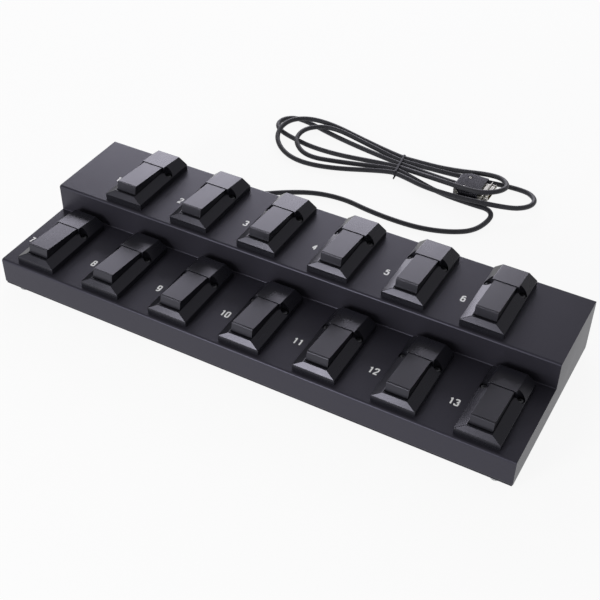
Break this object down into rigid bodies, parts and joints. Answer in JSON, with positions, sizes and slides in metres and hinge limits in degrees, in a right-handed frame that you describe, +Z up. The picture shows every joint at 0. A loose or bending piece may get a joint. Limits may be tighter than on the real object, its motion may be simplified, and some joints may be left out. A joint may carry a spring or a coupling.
{
  "type": "foot pedal switch",
  "caption": "Stepped sheet-metal foot switch with two rows of sloped sprung keys and a grey cable bound in a flat hank that ends in a D-subminiature plug.",
  "frame": {"origin": "on the floor under the middle of the box, without the cord and gland", "axes": "+X right along the rows of keys, +Y to the back, +Z up"},
  "size_m": [0.62, 0.4905, 0.0959],
  "materials": {
    "powder_coat": "fine textured black powder coat",
    "base_paint": "satin black",
    "housing_plastic": "satin black moulded plastic",
    "lever_plastic": "satin black moulded plastic",
    "dome_silicone": "translucent grey silicone",
    "zinc_steel": "zinc plated",
    "foot_rubber": "grey rubber",
    "black_screw": "black oxide",
    "board": "green solder mask",
    "cord_jacket": "satin grey black jacket",
    "gland_nylon": "black nylon",
    "tie_plastic": "plastic over wire",
    "hood_plastic": "black moulded hood",
    "tinned_steel": "tin plated",
    "insert_plastic": "black",
    "nickel_screw": "nickel plated"
  },
  "bodies": {
    "chassis": {"pedal_housing_1": "housing_plastic", "contact_dome_1": "dome_silicone", "pedal_housing_2": "housing_plastic", "contact_dome_2": "dome_silicone", "pedal_housing_3": "housing_plastic", "contact_dome_3": "dome_silicone", "pedal_housing_4": "housing_plastic", "contact_dome_4": "dome_silicone", "pedal_housing_5": "housing_plastic", "contact_dome_5": "dome_silicone", "pedal_housing_6": "housing_plastic", "contact_dome_6": "dome_silicone", "pedal_housing_7": "housing_plastic", "contact_dome_7": "dome_silicone", "pedal_housing_8": "housing_plastic", "contact_dome_8": "dome_silicone", "pedal_housing_9": "housing_plastic", "contact_dome_9": "dome_silicone", "pedal_housing_10": "housing_plastic", "contact_dome_10": "dome_silicone", "pedal_housing_11": "housing_plastic", "contact_dome_11": "dome_silicone", "pedal_housing_12": "housing_plastic", "contact_dome_12": "dome_silicone", "pedal_housing_13": "housing_plastic", "contact_dome_13": "dome_silicone", "deck_shell": "powder_coat", "end_plate_left": "powder_coat", "end_plate_right": "powder_coat", "base_plate": "base_paint", "base_screws": "zinc_steel", "rubber_feet": "foot_rubber", "housing_screws": "black_screw", "contact_boards": "board", "wiring_loom": "cord_jacket", "cable_gland": "gland_nylon", "gland_nut": "gland_nylon", "cord_lead": "cord_jacket", "cord_hank": "cord_jacket", "hank_tie": "tie_plastic", "plug_hood_upper": "hood_plastic", "plug_hood_lower": "hood_plastic", "plug_shell": "tinned_steel", "plug_insert": "insert_plastic", "hood_screws": "nickel_screw"},
    "key_1": {"pedal_lever_1": "lever_plastic"},
    "key_2": {"pedal_lever_2": "lever_plastic"},
    "key_3": {"pedal_lever_3": "lever_plastic"},
    "key_4": {"pedal_lever_4": "lever_plastic"},
    "key_5": {"pedal_lever_5": "lever_plastic"},
    "key_6": {"pedal_lever_6": "lever_plastic"},
    "key_7": {"pedal_lever_7": "lever_plastic"},
    "key_8": {"pedal_lever_8": "lever_plastic"},
    "key_9": {"pedal_lever_9": "lever_plastic"},
    "key_10": {"pedal_lever_10": "lever_plastic"},
    "key_11": {"pedal_lever_11": "lever_plastic"},
    "key_12": {"pedal_lever_12": "lever_plastic"},
    "key_13": {"pedal_lever_13": "lever_plastic"},
    "jack_near": {"jackscrew_near": "nickel_screw"},
    "jack_far": {"jackscrew_far": "nickel_screw"}
  },
  "joints": [
    {"name": "key_1_press", "type": "hinge", "parent": "chassis", "child": "key_1", "pos_m": [-0.222, 0.0663, 0.0834], "axis": [1, 0, 0], "range_deg": [0, 5.4], "stiffness_Nm_per_rad": 1.2, "springref_deg": -6.88, "deforming": ["contact_dome_1"]},
    {"name": "key_2_press", "type": "hinge", "parent": "chassis", "child": "key_2", "pos_m": [-0.1332, 0.0663, 0.0834], "axis": [1, 0, 0], "range_deg": [0, 5.4], "stiffness_Nm_per_rad": 1.2, "springref_deg": -6.88, "deforming": ["contact_dome_2"]},
    {"name": "key_3_press", "type": "hinge", "parent": "chassis", "child": "key_3", "pos_m": [-0.0444, 0.0663, 0.0834], "axis": [1, 0, 0], "range_deg": [0, 5.4], "stiffness_Nm_per_rad": 1.2, "springref_deg": -6.88, "deforming": ["contact_dome_3"]},
    {"name": "key_4_press", "type": "hinge", "parent": "chassis", "child": "key_4", "pos_m": [0.0444, 0.0663, 0.0834], "axis": [1, 0, 0], "range_deg": [0, 5.4], "stiffness_Nm_per_rad": 1.2, "springref_deg": -6.88, "deforming": ["contact_dome_4"]},
    {"name": "key_5_press", "type": "hinge", "parent": "chassis", "child": "key_5", "pos_m": [0.1332, 0.0663, 0.0834], "axis": [1, 0, 0], "range_deg": [0, 5.4], "stiffness_Nm_per_rad": 1.2, "springref_deg": -6.88, "deforming": ["contact_dome_5"]},
    {"name": "key_6_press", "type": "hinge", "parent": "chassis", "child": "key_6", "pos_m": [0.222, 0.0663, 0.0834], "axis": [1, 0, 0], "range_deg": [0, 5.4], "stiffness_Nm_per_rad": 1.2, "springref_deg": -6.88, "deforming": ["contact_dome_6"]},
    {"name": "key_7_press", "type": "hinge", "parent": "chassis", "child": "key_7", "pos_m": [-0.2664, -0.0457, 0.0499], "axis": [1, 0, 0], "range_deg": [0, 5.4], "stiffness_Nm_per_rad": 1.2, "springref_deg": -6.88, "deforming": ["contact_dome_7"]},
    {"name": "key_8_press", "type": "hinge", "parent": "chassis", "child": "key_8", "pos_m": [-0.1776, -0.0457, 0.0499], "axis": [1, 0, 0], "range_deg": [0, 5.4], "stiffness_Nm_per_rad": 1.2, "springref_deg": -6.88, "deforming": ["contact_dome_8"]},
    {"name": "key_9_press", "type": "hinge", "parent": "chassis", "child": "key_9", "pos_m": [-0.0888, -0.0457, 0.0499], "axis": [1, 0, 0], "range_deg": [0, 5.4], "stiffness_Nm_per_rad": 1.2, "springref_deg": -6.88, "deforming": ["contact_dome_9"]},
    {"name": "key_10_press", "type": "hinge", "parent": "chassis", "child": "key_10", "pos_m": [0, -0.0457, 0.0499], "axis": [1, 0, 0], "range_deg": [0, 5.4], "stiffness_Nm_per_rad": 1.2, "springref_deg": -6.88, "deforming": ["contact_dome_10"]},
    {"name": "key_11_press", "type": "hinge", "parent": "chassis", "child": "key_11", "pos_m": [0.0888, -0.0457, 0.0499], "axis": [1, 0, 0], "range_deg": [0, 5.4], "stiffness_Nm_per_rad": 1.2, "springref_deg": -6.88, "deforming": ["contact_dome_11"]},
    {"name": "key_12_press", "type": "hinge", "parent": "chassis", "child": "key_12", "pos_m": [0.1776, -0.0457, 0.0499], "axis": [1, 0, 0], "range_deg": [0, 5.4], "stiffness_Nm_per_rad": 1.2, "springref_deg": -6.88, "deforming": ["contact_dome_12"]},
    {"name": "key_13_press", "type": "hinge", "parent": "chassis", "child": "key_13", "pos_m": [0.2664, -0.0457, 0.0499], "axis": [1, 0, 0], "range_deg": [0, 5.4], "stiffness_Nm_per_rad": 1.2, "springref_deg": -6.88, "deforming": ["contact_dome_13"]},
    {"name": "jack_near_turn", "type": "hinge", "parent": "chassis", "child": "jack_near", "pos_m": [0.09, 0.31185, 0.00775], "axis": [1, 0, 0], "continuous": true},
    {"name": "jack_far_turn", "type": "hinge", "parent": "chassis", "child": "jack_far", "pos_m": [0.09, 0.34515, 0.00775], "axis": [1, 0, 0], "continuous": true}
  ]
}
